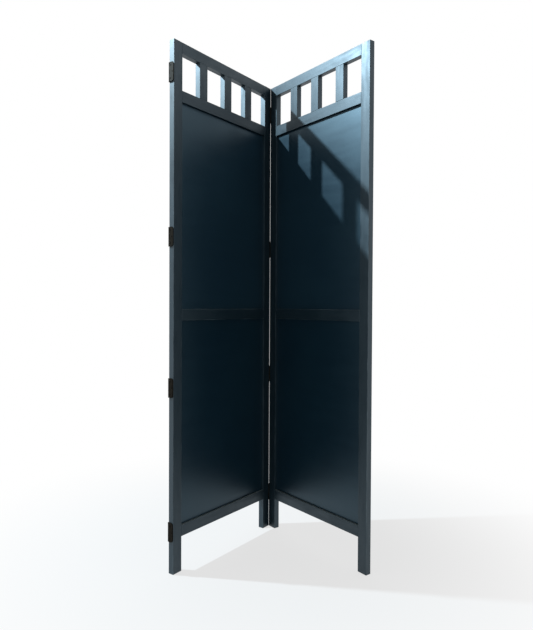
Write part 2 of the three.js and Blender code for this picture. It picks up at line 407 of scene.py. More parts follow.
@dataclass(frozen=True)
class PanelFrame:
    """A panel's own coordinates, as they lie in the row frame at rest.

    Attributes:
        side: Which of the two panels it is.
        pin: A point on the line of the fold's pins.
        opening_deg: How far the V is open.
    """

    side: Side
    pin: Vector
    opening_deg: float

    @property
    def along(self) -> Vector:
        """The direction from the fold to the panel's free edge."""
        half = math.radians(self.opening_deg / 2)
        return Vector((self.side.value * math.sin(half), -math.cos(half), 0.0))

    @property
    def across(self) -> Vector:
        """The direction from the inner face to the outer face."""
        half = math.radians(self.opening_deg / 2)
        return Vector((self.side.value * math.cos(half), math.sin(half), 0.0))

    def point(self, along: float, across: float, up: float) -> Vector:
        """The row-frame point with these panel coordinates."""
        return Vector((self.pin.x, self.pin.y, up)) + (
            self.along * along + self.across * across
        )

    def coordinates(self, point: Vector) -> Triple:
        """How far a row-frame point lies along, across and up the panel."""
        spot = point - Vector((self.pin.x, self.pin.y, 0.0))
        return spot.dot(self.along), spot.dot(self.across), spot.z

    def reach(self, node: bpy.types.Object) -> "Reach":
        """The lowest and highest panel coordinates of a node's vertices."""
        rows = [self.coordinates(vertex.co) for vertex in node.data.vertices]
        return Reach(*((min(axis), max(axis)) for axis in zip(*rows)))

    def places(self, graph: ShaderGraph) -> tuple[Value, Value, Value]:
        """Adds nodes for the panel coordinates of a shaded point.

        Args:
            graph: The material's graph.

        Returns:
            The values along, across and up.
        """
        node = graph.node("ShaderNodeTexCoord")
        place = Place(graph, node.outputs["Object"]) - (self.pin.x, self.pin.y, 0.0)
        return (
            place.dot(self.along),
            place.dot(self.across),
            place.dot(UP),
        )


@dataclass(frozen=True)
class Reach:
    """How far a member reaches in each of its panel's coordinates."""

    along: Span
    across: Span
    up: Span


def depth_inside(value: Value, limits: Span) -> Value:
    """The distance from the nearer of two limits, inwards.

    Args:
        value: A panel coordinate.
        limits: Its lowest and highest value on the member.

    Returns:
        The distance, 0 at either limit.
    """
    middle, half = sum(limits) / 2, (limits[1] - limits[0]) / 2
    return half - abs(value - middle)


# -------------------------------------------------------------------- finishes


@dataclass(frozen=True)
class FrameLacquer:
    """Satin blue-black lacquer that lets the grain of the frame show.

    Attributes:
        paint: The colour of the full film.
        thin: The colour where the film is thin over the grain.
        worn: The colour of rubbed arrises, which also paints a highlight along them.
        dust: The colour on level faces, partly dusting and partly a painted highlight.
        sheen_tint: The tint of the reflection.
        shine: The strength of the reflection.
        roughness: The middle of the film's roughness.
        brushing: How far the brush marks narrow the sheen.
        brushing_turn: Which way they run, as a share of a turn.
        coat: The weight of the clear top film.
        coat_swing: How far that weight varies.
        coat_roughness: The roughness of the top film.
        figure: The broad lines of the grain.
        stroke: The strokes of the brush.
        fibre: The fine lines of the grain.
        blotch: Patches of thicker and thinner film.
        speck: Grit in the film.
        figure_share: The figure's share in the grain that shows, against fibre.
        grain_step: Where the grain starts to show, and where it shows fully.
        grain_thinning: How far the grain that shows thins the film.
        blotch_thinning: How far a blotch thins it.
        wear_reach: How far in from an arris the wear and painted highlight get.
        wear_middle: The blotch that neither adds to the wear and painted highlight nor
            takes from them.
        wear_patchiness: How strongly blotches break up the wear and painted highlight.
        wear_step: Where the wear and painted highlight start, and where they are full.
        wear_strength: How much of the rubbed colour and painted highlight comes through.
        wear_polish: How much smoother a rubbed arris is.
        dust_slope: How level a face is where the dusting and painted highlight start, and
            where they are full.
        dust_least: The share of dusting and painted highlight without any blotch.
        dust_patchiness: How much of that share a blotch adds.
        relief: The depth of the whole bump.
        relief_strength: How much of the bump is kept.
        seed_step: How far each seed shifts the patterns on each axis.
    """

    paint: Colour = (0.0008, 0.0060, 0.0098)
    thin: Colour = (0.0034, 0.0104, 0.0150)
    worn: Colour = (0.0900, 0.1250, 0.1400)
    dust: Colour = (0.1800, 0.2100, 0.2100)
    sheen_tint: Colour = (0.64, 0.85, 1.0)
    shine: float = 0.84
    roughness: float = 0.49
    brushing: float = 0.38
    brushing_turn: float = 0.25
    coat: float = 0.03
    coat_swing: float = 0.06
    coat_roughness: float = 0.42
    figure: Pattern = Pattern(1.0, 3.0, 0.55, (7.0, 95.0, 95.0), height=0.25)
    stroke: Pattern = Pattern(
        1.0, 2.0, 0.5, (9.0, 60.0, 60.0), height=0.8, gloss=0.34
    )
    fibre: Pattern = Pattern(1.0, 2.0, 0.6, (26.0, 900.0, 900.0), height=0.2)
    blotch: Pattern = Pattern(22.0, 3.0, 0.55, height=1.4, gloss=0.24)
    speck: Pattern = Pattern(900.0, 1.0, 0.5, height=0.1, gloss=0.10)
    figure_share: float = 0.55
    grain_step: Span = (0.38, 0.66)
    grain_thinning: float = 0.55
    blotch_thinning: float = 0.3
    wear_reach: float = 2.0 * MM
    wear_middle: float = 0.55
    wear_patchiness: float = 2.2
    wear_step: Span = (0.25, 1.1)
    wear_strength: float = 0.7
    wear_polish: float = 0.08
    dust_slope: Span = (0.55, 0.95)
    dust_least: float = 0.35
    dust_patchiness: float = 0.6
    relief: float = 0.26 * MM
    relief_strength: float = 0.9
    seed_step: Triple = (0.37, 0.61, 0.23)

    def dress(
        self, name: str, panel: PanelFrame, reach: Reach, grain: Grain, seed: int
    ) -> bpy.types.Material:
        """Makes the lacquer of one member.

        Args:
            name: The material's name.
            panel: The coordinates of the member's panel.
            reach: The member's limits in them, for the wear on its arrises.
            grain: The direction of its grain.
            seed: A number that gives the member grain of its own.

        Returns:
            The material.
        """
        material, graph = new_material(name)
        along, across, up = panel.places(graph)
        depth = depth_inside(across, reach.across)
        if grain is Grain.UPRIGHT:
            length, width = up, along
            side_depth = depth_inside(along, reach.along)
        else:
            length, width = along, up
            side_depth = depth_inside(up, reach.up)
        shift = tuple(seed * step for step in self.seed_step)
        spot = graph.combined(length, width, across) + shift
        figure = graph.noise(spot, self.figure)
        stroke = graph.noise(spot, self.stroke)
        fibre = graph.noise(spot, self.fibre)
        blotch = graph.noise(spot, self.blotch)
        speck = graph.noise(spot, self.speck)
        # The mask along the arrises is partly rubbing and partly a painted highlight.
        from_arris = side_depth.most(depth) / self.wear_reach
        patchy = (blotch - self.wear_middle) * self.wear_patchiness
        wear = (1.0 - from_arris + patchy).ramp(*self.wear_step)
        # Level faces go towards a colour that is partly dusting and partly a painted
        # highlight on the ledges.
        level = graph.facing(UP).ramp(*self.dust_slope)
        dust_and_highlight_share = self.dust_least + blotch * self.dust_patchiness
        show = figure * self.figure_share + fibre * (1.0 - self.figure_share)
        show = show.ramp(*self.grain_step)
        thinning = show * self.grain_thinning + blotch * self.blotch_thinning
        colour = graph.mix(self.paint, self.thin, thinning)
        # Arrises go towards the rubbed colour, which is lighter and bluer than the paint
        # and also paints a highlight along them.
        colour = colour.towards(self.worn, wear * self.wear_strength)
        # Here the painted highlight and the dusting on level faces are laid over the
        # paint.
        colour = colour.towards(self.dust, level * dust_and_highlight_share)
        rough = self.roughness + stroke.swing(self.stroke.gloss)
        rough = rough + blotch.swing(self.blotch.gloss)
        rough = rough + speck.swing(self.speck.gloss)
        height = figure * self.figure.height + fibre * self.fibre.height
        height = height + speck * self.speck.height
        height = height + stroke * self.stroke.height
        height = height + blotch * self.blotch.height
        graph.surface(
            "ShaderNodeBsdfPrincipled",
            {
                "Base Color": colour,
                "Roughness": rough - wear * self.wear_polish,
                "Specular IOR Level": self.shine,
                "Specular Tint": self.sheen_tint,
                "Anisotropic": self.brushing,
                "Anisotropic Rotation": self.brushing_turn,
                "Coat Weight": self.coat + blotch.swing(self.coat_swing),
                "Coat Roughness": self.coat_roughness,
                "Normal": graph.bump(height, self.relief, self.relief_strength),
            },
        )
        return material


@dataclass(frozen=True)
class BoardLacquer:
    """Smooth satin blue-black lacquer on the thin boards.

    Attributes:
        paint: The colour of the full film.
        clouded: The colour where the film is cloudy.
        sheen_tint: The tint of the reflection.
        shine: The strength of the reflection.
        density: The film's index of refraction.
        roughness: The middle of the film's roughness.
        brushing: How far the brush marks narrow the sheen.
        brushing_turn: Which way they run, as a share of a turn.
        coat: The weight of the clear top film.
        coat_swing: How far that weight varies.
        coat_roughness: The roughness of the top film.
        cloud: Broad clouds in the film.
        streak: Streaks that run along the board.
        film: The grit of the film.
        cloud_share: The share of the clouds in the tone, against the streaks.
        tone_step: Where the cloudy tone starts, and where it is full.
        tone_strength: How much of the cloudy colour comes through.
        relief: The depth of the whole bump.
        relief_strength: How much of the bump is kept.
        seed_step: How far each seed shifts the patterns on each axis.
    """

    paint: Colour = (0.0002, 0.0075, 0.0150)
    clouded: Colour = (0.0016, 0.0120, 0.0200)
    sheen_tint: Colour = (0.50, 0.80, 1.0)
    shine: float = 0.96
    density: float = 1.56
    roughness: float = 0.36
    brushing: float = 0.35
    brushing_turn: float = 0.25
    coat: float = 0.04
    coat_swing: float = 0.06
    coat_roughness: float = 0.30
    cloud: Pattern = Pattern(4.2, 3.0, 0.5, gloss=0.10)
    streak: Pattern = Pattern(
        1.0, 3.0, 0.55, (5.0, 30.0, 46.0), height=0.55, gloss=0.08
    )
    film: Pattern = Pattern(420.0, 2.0, 0.5, height=0.45, gloss=0.06)
    cloud_share: float = 0.65
    tone_step: Span = (0.35, 0.68)
    tone_strength: float = 0.8
    relief: float = 0.05 * MM
    relief_strength: float = 0.5
    seed_step: Triple = (0.41, 0.0, 0.67)

    def dress(self, name: str, panel: PanelFrame, seed: int) -> bpy.types.Material:
        """Makes the lacquer of one board.

        Args:
            name: The material's name.
            panel: The coordinates of the board's panel.
            seed: A number that gives the board streaks of its own.

        Returns:
            The material.
        """
        material, graph = new_material(name)
        along, across, up = panel.places(graph)
        shift = tuple(seed * step for step in self.seed_step)
        spot = graph.combined(along, across, up) + shift
        cloud = graph.noise(spot, self.cloud)
        streak = graph.noise(spot, self.streak)
        film = graph.noise(spot, self.film)
        tone = cloud * self.cloud_share + streak * (1.0 - self.cloud_share)
        tone = tone.ramp(*self.tone_step) * self.tone_strength
        rough = self.roughness + cloud.swing(self.cloud.gloss)
        rough = rough + streak.swing(self.streak.gloss)
        rough = rough + film.swing(self.film.gloss)
        height = film * self.film.height + streak * self.streak.height
        graph.surface(
            "ShaderNodeBsdfPrincipled",
            {
                "Base Color": graph.mix(self.paint, self.clouded, tone),
                "Roughness": rough,
                "IOR": self.density,
                "Specular IOR Level": self.shine,
                "Specular Tint": self.sheen_tint,
                "Anisotropic": self.brushing,
                "Anisotropic Rotation": self.brushing_turn,
                "Coat Weight": self.coat + cloud.swing(self.coat_swing),
                "Coat Roughness": self.coat_roughness,
                "Normal": graph.bump(height, self.relief, self.relief_strength),
            },
        )
        return material


@dataclass(frozen=True)
class HingeBronze:
    """Dark bronzed steel, rubbed bright where it turns and along its edges.

    Attributes:
        dark: The darker of the bronzed colours.
        warm: The warmer one.
        rubbed: The colour of bare, rubbed metal.
        metallic: The middle of how metallic it is.
        metallic_swing: How far that varies.
        shine: The strength of the reflection off the bronzing.
        roughness: The middle of its roughness.
        patch: Patches in the bronzing.
        speck: Fine pits.
        warm_step: Where the warm colour starts, and where it is full.
        edge_radius: How far in from an edge the rubbing is looked for.
        edge_samples: How finely it is looked for.
        edge_step: The turn at an edge where rubbing starts, and is full.
        rub_step: Where patches and pits let the rubbing start, and be full.
        rub_strength: How much of the rubbed colour comes through.
        rub_polish: How much smoother rubbed metal is.
        relief: The depth of the whole bump.
        relief_strength: How much of the bump is kept.
    """

    dark: Colour = (0.0065, 0.0058, 0.0042)
    warm: Colour = (0.0160, 0.0135, 0.0095)
    rubbed: Colour = (0.130, 0.115, 0.090)
    metallic: float = 0.85
    metallic_swing: float = 0.2
    shine: float = 0.20
    roughness: float = 0.68
    patch: Pattern = Pattern(160.0, 3.0, 0.6, height=0.5, gloss=0.2)
    speck: Pattern = Pattern(1500.0, 2.0, 0.6, height=0.5, gloss=0.14)
    warm_step: Span = (0.35, 0.68)
    edge_radius: float = 0.45 * MM
    edge_samples: int = 6
    edge_step: Span = (0.01, 0.16)
    rub_step: Span = (0.75, 1.25)
    rub_strength: float = 0.55
    rub_polish: float = 0.12
    relief: float = 0.06 * MM
    relief_strength: float = 0.5

    def edge(self, graph: ShaderGraph) -> Value:
        """Adds nodes that find the edges of a part.

        Args:
            graph: The material's graph.

        Returns:
            The value, 1 along an edge and 0 away from one.
        """
        rounded = graph.node(
            "ShaderNodeBevel",
            {"samples": self.edge_samples},
            {"Radius": self.edge_radius},
        )
        flat = graph.node("ShaderNodeNewGeometry")
        rounded_normal = Place(graph, rounded.outputs["Normal"])
        flat_normal = Place(graph, flat.outputs["Normal"])
        return (1.0 - rounded_normal.dot(flat_normal)).ramp(*self.edge_step)

    def dress(self, name: str) -> bpy.types.Material:
        """Makes the bronzed finish.

        Args:
            name: The material's name.

        Returns:
            The material.
        """
        material, graph = new_material(name)
        node = graph.node("ShaderNodeTexCoord")
        spot = Place(graph, node.outputs["Object"])
        patch = graph.noise(spot, self.patch)
        speck = graph.noise(spot, self.speck)
        wear = self.edge(graph) * (patch + speck).ramp(*self.rub_step)
        colour = graph.mix(self.dark, self.warm, patch.ramp(*self.warm_step))
        rough = self.roughness + patch.swing(self.patch.gloss)
        rough = rough + speck.swing(self.speck.gloss)
        height = patch * self.patch.height + speck * self.speck.height
        graph.surface(
            "ShaderNodeBsdfPrincipled",
            {
                "Base Color": colour.towards(self.rubbed, wear * self.rub_strength),
                "Metallic": self.metallic + patch.swing(self.metallic_swing),
                "Specular IOR Level": self.shine,
                "Roughness": rough - wear * self.rub_polish,
                "Normal": graph.bump(height, self.relief, self.relief_strength),
            },
        )
        return material


# ------------------------------------------------------- shaping of the solids


@dataclass
class ArrisDresser:
    """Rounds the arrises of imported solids, and gives them smooth shading.

    Attributes:
        merge: How close corners of a solid are that count as one.
        flat_deg: The turn below which neighbouring faces are one flat.
        corner_deg: The turn from which an edge is an arris.
        steps: The number of faces across a rounding.
        area_weight: How strongly large faces keep their shading flat.
        shading: The node group that smooths the shading.
    """

    merge: float = 0.01 * MM
    flat_deg: float = 0.5
    corner_deg: float = 40.0
    steps: int = 3
    area_weight: int = 100
    shading: bpy.types.NodeTree = field(init=False)

    def __post_init__(self) -> None:
        """Makes the node group that smooths the shading."""
        group = bpy.data.node_groups.new("smooth_shading", "GeometryNodeTree")
        for way in ("INPUT", "OUTPUT"):
            group.interface.new_socket(
                "Geometry", in_out=way, socket_type="NodeSocketGeometry"
            )
        start = group.nodes.new("NodeGroupInput")
        free = group.nodes.new("GeometryNodeSetMeshNormal")
        free.mode = "SHARPNESS"
        smooth = group.nodes.new("GeometryNodeSetShadeSmooth")
        end = group.nodes.new("NodeGroupOutput")
        group.links.new(start.outputs[0], free.inputs["Mesh"])
        group.links.new(free.outputs[0], smooth.inputs["Geometry"])
        group.links.new(smooth.outputs[0], end.inputs[0])
        self.shading = group

    def soften(self, node: bpy.types.Object, radius: float) -> None:
        """Adds the modifiers that round a node's arrises.

        Args:
            node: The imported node, whose mesh stays as it is.
            radius: The width of the rounding.
        """
        weld = node.modifiers.new("join_corners", "WELD")
        weld.merge_threshold = self.merge
        flat = node.modifiers.new("join_flats", "DECIMATE")
        flat.decimate_type = "DISSOLVE"
        flat.angle_limit = math.radians(self.flat_deg)
        bevel = node.modifiers.new("round_arrises", "BEVEL")
        bevel.width = radius
        bevel.segments = self.steps
        bevel.limit_method = "ANGLE"
        bevel.angle_limit = math.radians(self.corner_deg)
        bevel.use_clamp_overlap = False
        bevel.loop_slide = False
        bevel.miter_outer = "MITER_ARC"
        shade = node.modifiers.new("smooth_shading", "NODES")
        shade.node_group = self.shading
        normal = node.modifiers.new("even_normals", "WEIGHTED_NORMAL")
        normal.weight = self.area_weight
        normal.keep_sharp = True


# -------------------------------------------------------------- sub-assemblies


@dataclass
class ScreenPanel:
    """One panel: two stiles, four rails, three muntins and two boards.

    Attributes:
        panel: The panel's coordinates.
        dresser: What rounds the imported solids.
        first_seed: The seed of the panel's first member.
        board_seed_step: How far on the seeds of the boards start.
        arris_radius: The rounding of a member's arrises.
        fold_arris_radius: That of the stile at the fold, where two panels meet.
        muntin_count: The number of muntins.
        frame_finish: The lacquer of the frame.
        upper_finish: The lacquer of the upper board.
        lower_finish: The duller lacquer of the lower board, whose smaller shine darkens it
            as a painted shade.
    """

    panel: PanelFrame
    dresser: ArrisDresser
    first_seed: int
    board_seed_step: int = 20
    arris_radius: float = 0.8 * MM
    fold_arris_radius: float = 0.12 * MM
    muntin_count: int = 3
    frame_finish: FrameLacquer = FrameLacquer()
    upper_finish: BoardLacquer = BoardLacquer()
    # The lower board's smaller shine darkens it towards the bottom: a painted shade.
    lower_finish: BoardLacquer = BoardLacquer(shine=0.70)

    @property
    def uprights(self) -> list[str]:
        """The members whose grain stands upright."""
        muntins = [f"muntin_{number + 1}" for number in range(self.muntin_count)]
        return ["hinge_stile", "outer_stile", *muntins]

    @property
    def rails(self) -> list[str]:
        """The members whose grain runs level."""
        return ["top_rail", "frieze_rail", "mid_rail", "bottom_rail"]

    @property
    def boards(self) -> dict[str, BoardLacquer]:
        """The thin boards that fill the panel, the lower one duller, which darkens it as a
        painted shade.
        """
        return {"upper_board": self.upper_finish, "lower_board": self.lower_finish}

    def dress(self) -> None:
        """Rounds and lacquers the frame members, and lacquers the boards."""
        members = [(word, Grain.UPRIGHT) for word in self.uprights]
        members += [(word, Grain.LEVEL) for word in self.rails]
        for number, (word, grain) in enumerate(members):
            node = frame["nodes"][f"{self.panel.side.word}_{word}"]
            material = self.frame_finish.dress(
                f"{node.name}_lacquer",
                self.panel,
                self.panel.reach(node),
                grain,
                self.first_seed + number,
            )
            at_fold = word == "hinge_stile"
            radius = self.fold_arris_radius if at_fold else self.arris_radius
            self.dresser.soften(node, radius)
            finish_node(node, material)
        board_seed = self.first_seed + self.board_seed_step
        for number, (word, finish) in enumerate(self.boards.items()):
            node = frame["nodes"][f"{self.panel.side.word}_{word}"]
            material = finish.dress(
                f"{node.name}_lacquer", self.panel, board_seed + number
            )
            finish_node(node, material)


def finish_node(node: bpy.types.Object, material: bpy.types.Material) -> None:
    """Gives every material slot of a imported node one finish.

    Args:
        node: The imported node.
        material: The finish.
    """
    for slot in node.material_slots:
        slot.material = material
    LOG.info("%s has the finish %s", node.name, material.name)


@dataclass
class ScrewShape:
    """A countersunk wood screw with a cross recess, its head's face at 0.

    Attributes:
        head_radius: The head's radius at its rim.
        sink: How far the rim lies below the leaf's face.
        rim_bevel: How far the rim is bevelled in.
        rim_rise: How high the bevel rises.
        rim_height: The upright band under the rim.
        neck_radius: The shank's radius under the head.
        neck_depth: Where the cone of the head ends.
        neck_taper: The length in which the neck tapers to the thread.
        core_radius: The radius at the thread's roots.
        thread_radius: The radius at its crests.
        thread_start: Where the thread starts.
        thread_pitch: From crest to crest.
        thread_turns: The number of crests.
        root_share: Where a root lies in its pitch.
        tip_radius: The blunt tip's radius.
        tip_depth: Where the tip lies.
        recess_reach: The cross's reach from the middle.
        recess_half: Half the width of its arms.
        recess_depth: Its depth.
        floor_reach_share: The floor's reach, as a share of the mouth's.
        floor_width_share: The floor's width, as a share of the mouth's.
        sides: The number of sides of the round parts.
    """

    head_radius: float = 3.15 * MM
    sink: float = 0.06 * MM
    rim_bevel: float = 0.12 * MM
    rim_rise: float = 0.04 * MM
    rim_height: float = 0.10 * MM
    neck_radius: float = 1.75 * MM
    neck_depth: float = 2.2 * MM
    neck_taper: float = 0.35 * MM
    core_radius: float = 0.82 * MM
    thread_radius: float = 1.14 * MM
    thread_start: float = 3.3 * MM
    thread_pitch: float = 1.1 * MM
    thread_turns: int = 7
    root_share: float = 0.35
    tip_radius: float = 0.12 * MM
    tip_depth: float = 13.2 * MM
    recess_reach: float = 1.65 * MM
    recess_half: float = 0.34 * MM
    recess_depth: float = 1.2 * MM
    floor_reach_share: float = 0.42
    floor_width_share: float = 0.75
    sides: int = 24

    @property
    def top(self) -> float:
        """The height of the flat of the head."""
        return -self.sink + self.rim_rise

    def profile(self) -> list[Span]:
        """The rings that the screw is turned from.

        Returns:
            The radius and height of each ring, from the head's face down.
        """
        rings = [
            (self.head_radius - self.rim_bevel, self.top),
            (self.head_radius, -self.sink),
            (self.head_radius, -self.sink - self.rim_height),
            (self.neck_radius, -self.neck_depth),
            (self.thread_radius, -self.neck_depth - self.neck_taper),
            (self.thread_radius, -self.thread_start),
        ]
        for turn in range(self.thread_turns):
            crest = -self.thread_start - turn * self.thread_pitch
            root = crest - self.root_share * self.thread_pitch
            rings.append((self.core_radius, root))
            rings.append((self.thread_radius, crest - self.thread_pitch))
        rings.append((self.tip_radius, -self.tip_depth))
        return rings

    def add_to(self, mesh: bmesh.types.BMesh, place: Matrix) -> None:
        """Adds the screw to a mesh.

        Args:
            mesh: The mesh that takes it.
            place: The head's place, its Z axis out of the wood.
        """
        rings = [self._ring(mesh, place, *ring) for ring in self.profile()]
        for upper, lower in zip(rings, rings[1:]):
            self._band(mesh, upper, lower)
        mesh.faces.new(reversed(rings[-1]))
        mouth = self._cross(mesh, place, 1.0, 1.0, self.top)
        floor = self._cross(
            mesh,
            place,
            self.floor_reach_share,
            self.floor_width_share,
            self.top - self.recess_depth,
        )
        self._band(mesh, mouth, floor)
        mesh.faces.new(floor)
        self._close_face(mesh, rings[0], mouth)

    def _ring(
        self, mesh: bmesh.types.BMesh, place: Matrix, radius: float, height: float
    ) -> list[bmesh.types.BMVert]:
        """Adds the corners of a ring, anticlockwise.

        Args:
            mesh: The mesh that takes them.
            place: The head's place.
            radius: The ring's radius.
            height: Its height from the head's face.

        Returns:
            The corners.
        """
        turns = [2 * math.pi * side / self.sides for side in range(self.sides)]
        return [
            mesh.verts.new(
                place
                @ Vector((radius * math.cos(turn), radius * math.sin(turn), height))
            )
            for turn in turns
        ]

    @staticmethod
    def _band(
        mesh: bmesh.types.BMesh,
        upper: list[bmesh.types.BMVert],
        lower: list[bmesh.types.BMVert],
    ) -> None:
        """Joins two loops of as many corners with a band of faces.

        Args:
            mesh: The mesh that takes the faces.
            upper: The upper loop.
            lower: The lower loop.
        """
        for k in range(len(upper)):
            after = (k + 1) % len(upper)
            mesh.faces.new((upper[k], lower[k], lower[after], upper[after]))

    def _cross(
        self,
        mesh: bmesh.types.BMesh,
        place: Matrix,
        reach_share: float,
        width_share: float,
        height: float,
    ) -> list[bmesh.types.BMVert]:
        """Adds the twelve corners of a cross, anticlockwise.

        Args:
            mesh: The mesh that takes them.
            place: The head's place.
            reach_share: The cross's reach, as a share of the mouth's.
            width_share: The width of its arms, as a share of the mouth's.
            height: Its height from the head's face.

        Returns:
            The corners.
        """
        far = self.recess_reach * reach_share
        near = self.recess_half * width_share
        corners = []
        for quarter in range(4):
            turn = Matrix.Rotation(quarter * math.pi / 2, 4, "Z")
            for x, y in ((far, -near), (far, near), (near, near)):
                corners.append(
                    mesh.verts.new(place @ (turn @ Vector((x, y, height))))
                )
        return corners

    @staticmethod
    def _close_face(
        mesh: bmesh.types.BMesh,
        rim: list[bmesh.types.BMVert],
        mouth: list[bmesh.types.BMVert],
    ) -> None:
        """Fills the head's face between its rim and the cross recess.

        Args:
            mesh: The mesh that takes the faces.
            rim: The corners of the rim.
            mouth: The corners of the recess.
        """
        edges = []
        for loop in (rim, mouth):
            for k, vertex in enumerate(loop):
                after = loop[(k + 1) % len(loop)]
                edges.append(mesh.edges.get((vertex, after)))
        bmesh.ops.bridge_loops(mesh, edges=edges)


@dataclass
class ScrewSet:
    """The three screws of every leaf that is let into a stile.

    Attributes:
        panels: The coordinates of the two panels.
        material: The screws' finish.
        spare_pins: The middles of the spare hinges' pins, the highest first.
        shape: One screw.
        rise: How far the outer two screws stand from the leaf's middle.
        near: Their distance from the pin.
        far: The middle screw's distance from the pin.
        turn_step: How far each screw is driven past the last one, in radians.
        crease_deg: The turn from which an edge of a screw is shaded sharp.
    """

    panels: dict[Side, PanelFrame]
    material: bpy.types.Material
    spare_pins: Sequence[Vector]
    shape: ScrewShape = field(default_factory=ScrewShape)
    rise: float = 21.17 * MM
    near: float = 8.1 * MM
    far: float = 14.7 * MM
    turn_step: float = 2.4
    crease_deg: float = 35.0

    def spots(self) -> list[Span]:
        """The height and the distance from the pin of each screw of a leaf."""
        return [(-self.rise, self.near), (0.0, self.far), (self.rise, self.near)]

    def build(self) -> None:
        """Makes one piece for the screws of each leaf."""
        for number, pin in enumerate(self.spare_pins, 1):
            for side in Side:
                self._fold_screws(side, number, pin.z)
            self._spare_screws(number, pin)

    def _fold_screws(self, side: Side, number: int, height: float) -> None:
        """Makes the screws of one leaf at the fold.

        Args:
            side: The panel whose stile the leaf is let into.
            number: The hinge's number, from the top.
            height: The hinge's middle.
        """
        panel = self.panels[side]
        stile = frame["nodes"][f"{side.word}_hinge_stile"]
        face = panel.reach(stile).along[0]
        places = [
            self._place(panel, face, distance, height + rise, -1.0)
            for rise, distance in self.spots()
        ]
        name = f"{HingeRow.CENTRE.value}_{number}_{side.word}_screws"
        self._piece(name, places, side, number)

    def _spare_screws(self, number: int, pin: Vector) -> None:
        """Makes the screws of one spare hinge's fixed leaf.

        Args:
            number: The hinge's number, from the top.
            pin: The middle of its pin.
        """
        panel = self.panels[Side.LEFT]
        stile = frame["nodes"][f"{Side.LEFT.word}_outer_stile"]
        face = panel.reach(stile).along[1]
        pin_across = panel.coordinates(pin)[1]
        places = [
            self._place(panel, face, pin_across - distance, pin.z + rise, 1.0)
            for rise, distance in self.spots()
        ]
        name = f"{HingeRow.OUTER.value}_{number}_screws"
        self._piece(name, places, Side.LEFT, number + len(self.spare_pins))

    @staticmethod
    def _place(
        panel: PanelFrame, along: float, across: float, up: float, way: float
    ) -> Matrix:
        """The place of a screw's head, its Z axis out of the stile's edge.

        Args:
            panel: The coordinates of the stile's panel.
            along: The head's distance along the panel.
            across: Its distance across the panel.
            up: Its height.
            way: 1 where the edge faces away from the fold, and -1 towards it.

        Returns:
            The place.
        """
        out = panel.along * way
        rise = Vector(UP)
        turned = Matrix((rise, out.cross(rise), out)).transposed().to_4x4()
        turned.translation = panel.point(along, across, up)
        return turned

    def _piece(
        self, name: str, places: Sequence[Matrix], side: Side, number: int
    ) -> None:
        """Makes the piece of one leaf's screws.

        Args:
            name: The piece's name.
            places: The places of the heads.
            side: The panel that it rides on.
            number: The leaf's number, which sets how its screws are turned.
        """
        mesh = bmesh.new()
        for count, place in enumerate(places):
            angle = self.turn_step * (number * len(places) + count)
            self.shape.add_to(mesh, place @ Matrix.Rotation(angle, 4, "Z"))
        bmesh.ops.recalc_face_normals(mesh, faces=mesh.faces)
        data = bpy.data.meshes.new(name)
        mesh.to_mesh(data)
        mesh.free()
        data.shade_smooth()
        data.set_sharp_from_angle(angle=math.radians(self.crease_deg))
        data.materials.append(self.material)
        piece = bpy.data.objects.new(name, data)
        bpy.context.scene.collection.objects.link(piece)
        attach(piece, side.body)
        LOG.info("%s rides on %s", name, side.body)


@dataclass
class HingeSet:
    """The four hinges of the fold and the four spare ones.

    Attributes:
        panels: The coordinates of the two panels.
        dresser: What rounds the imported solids.
        spare_pins: The middles of the spare hinges' pins, the highest first.
            The hinges of the fold stand at the same heights.
        leaf_rounding: The rounding of a leaf's edges.
        pin_rounding: The rounding of a pin's edges.
        finish: The finish of the hinges and of their screws.
    """

    panels: dict[Side, PanelFrame]
    dresser: ArrisDresser
    spare_pins: Sequence[Vector]
    leaf_rounding: float = 0.22 * MM
    pin_rounding: float = 0.12 * MM
    finish: HingeBronze = HingeBronze()

    def parts(self, number: int) -> dict[str, float]:
        """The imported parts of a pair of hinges, each with its rounding."""
        return {
            f"{HingeRow.CENTRE.value}_{number}_left_leaf": self.leaf_rounding,
            f"{HingeRow.CENTRE.value}_{number}_right_leaf": self.leaf_rounding,
            f"{HingeRow.CENTRE.value}_{number}_pin": self.pin_rounding,
            f"{HingeRow.OUTER.value}_{number}_fixed_leaf": self.leaf_rounding,
            f"{HingeRow.OUTER.value}_{number}_free_leaf": self.leaf_rounding,
            f"{HingeRow.OUTER.value}_{number}_pin": self.pin_rounding,
        }

    def dress(self) -> None:
        """Rounds and finishes the hinge parts, and adds the screws."""
        material = self.finish.dress("hinge_bronze_rubbed")
        for number in range(1, len(self.spare_pins) + 1):
            for name, rounding in self.parts(number).items():
                node = frame["nodes"][name]
                self.dresser.soften(node, rounding)
                finish_node(node, material)
        ScrewSet(self.panels, material, self.spare_pins).build()


# ---------------------------------------------------------- studio and viewpoint


